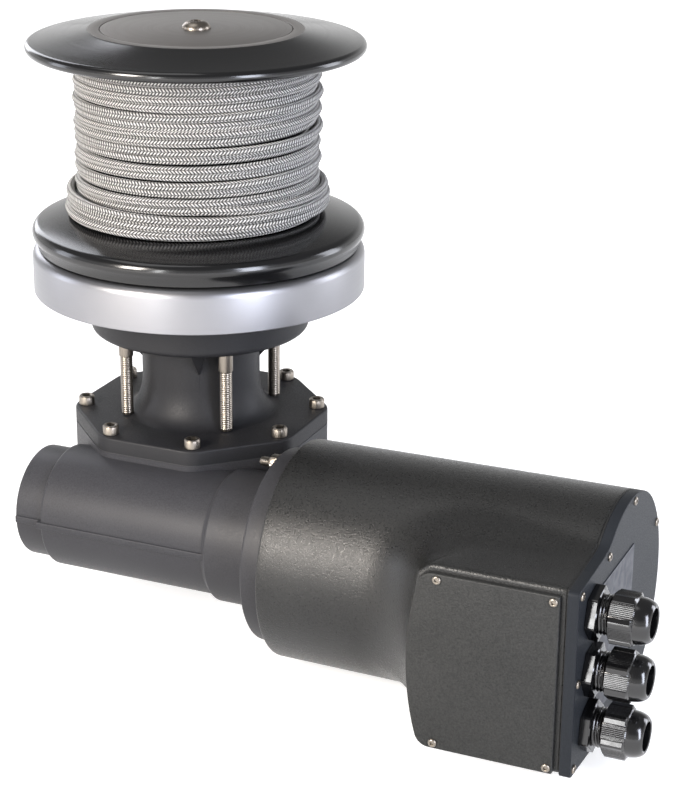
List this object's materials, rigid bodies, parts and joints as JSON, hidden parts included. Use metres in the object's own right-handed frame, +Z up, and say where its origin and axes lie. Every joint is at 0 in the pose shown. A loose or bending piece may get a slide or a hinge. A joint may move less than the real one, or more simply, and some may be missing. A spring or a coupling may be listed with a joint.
{
  "type": "deck capstan",
  "caption": "Vertical electric deck capstan: rope drum on a deck ring, worm gear case below deck, horizontal motor with control box and cable glands.",
  "frame": {"origin": "centre of the deck ring's underside, on the drum's axis", "axes": "+Z up along the drum's axis, +X along the motor away from the gear case, -Y towards the control box's front"},
  "size_m": [0.4511, 0.2752, 0.372],
  "materials": {
    "ring_metal": "satin silver anodised",
    "cast_grey": "matte dark grey coating on cast aluminium",
    "cover_black": "fine-grained black powder coating",
    "plate_grey": "smooth satin blue-grey coating",
    "drum_black": "black anodised, glossy at the rims",
    "cap_metal": "satin grey-brown anodised",
    "stainless": "bright stainless steel",
    "shaft_steel": "ground steel",
    "bronze": "machined bronze",
    "gland_nylon": "glossy black nylon",
    "seal_rubber": "moulded black rubber",
    "rope_braid": "silver-grey braided polyester",
    "label_blank": "blank grey label film",
    "copper": "enamelled copper and bars",
    "magnet_ferrite": "sintered ferrite",
    "motor_steel": "zinc primed steel",
    "carbon": "carbon",
    "relay_plastic": "moulded insulating plastic"
  },
  "bodies": {
    "housing": {"base_ring": "ring_metal", "mounting_studs": "stainless", "neck_casting": "cast_grey", "housing_gasket": "seal_rubber", "housing_screws": "stainless", "gearbox_body": "cast_grey", "upper_bearing": "shaft_steel", "lower_bearing": "shaft_steel", "shaft_seal": "seal_rubber", "worm_bearing_left": "shaft_steel", "worm_bearing_right": "shaft_steel", "worm_seal": "seal_rubber", "worm_end_cap": "cast_grey", "motor_flange": "cast_grey", "flange_screws": "stainless", "bonding_stud": "stainless", "motor_can": "motor_steel", "field_magnets": "magnet_ferrite", "brush_holder": "relay_plastic", "brushes": "carbon", "motor_front_bearing": "shaft_steel", "motor_rear_bearing": "shaft_steel", "motor_end_shield": "cast_grey", "motor_cover": "cover_black", "end_plate": "plate_grey", "end_gasket": "seal_rubber", "end_plate_screws": "stainless", "box_cover_plate": "cover_black", "box_cover_gasket": "seal_rubber", "box_cover_screws": "stainless", "gland_bodies": "gland_nylon", "gland_cap_nuts": "gland_nylon", "gland_seals": "seal_rubber", "gland_locknuts": "gland_nylon", "contactor": "relay_plastic", "contactor_bracket": "motor_steel", "terminal_studs": "bronze", "label_plate": "label_blank"},
    "drum": {"main_shaft": "shaft_steel", "wheel_key": "shaft_steel", "drum_key": "shaft_steel", "wheel_spacer": "shaft_steel", "worm_wheel": "bronze", "drum_lower_flange": "drum_black", "drum_barrel": "drum_black", "drum_top_flange": "drum_black", "top_cap": "cap_metal", "centre_screw": "stainless", "drum_tie_bolts": "stainless", "rope_coil": "rope_braid"},
    "rotor": {"worm_shaft": "shaft_steel", "shaft_coupling": "shaft_steel", "armature_shaft": "shaft_steel", "armature_core": "motor_steel", "armature_windings": "copper", "commutator": "copper"}
  },
  "joints": [
    {"name": "drum_spin", "type": "hinge", "parent": "housing", "child": "drum", "pos_m": [0, 0, 0], "axis": [0, 0, 1], "continuous": true},
    {"name": "rotor_spin", "type": "hinge", "parent": "housing", "child": "rotor", "pos_m": [0, -0.072, -0.135], "axis": [1, 0, 0], "continuous": true}
  ],
  "couplings": [
    {"joint": "rotor_spin", "follows": "drum_spin", "ratio": -58}
  ]
}
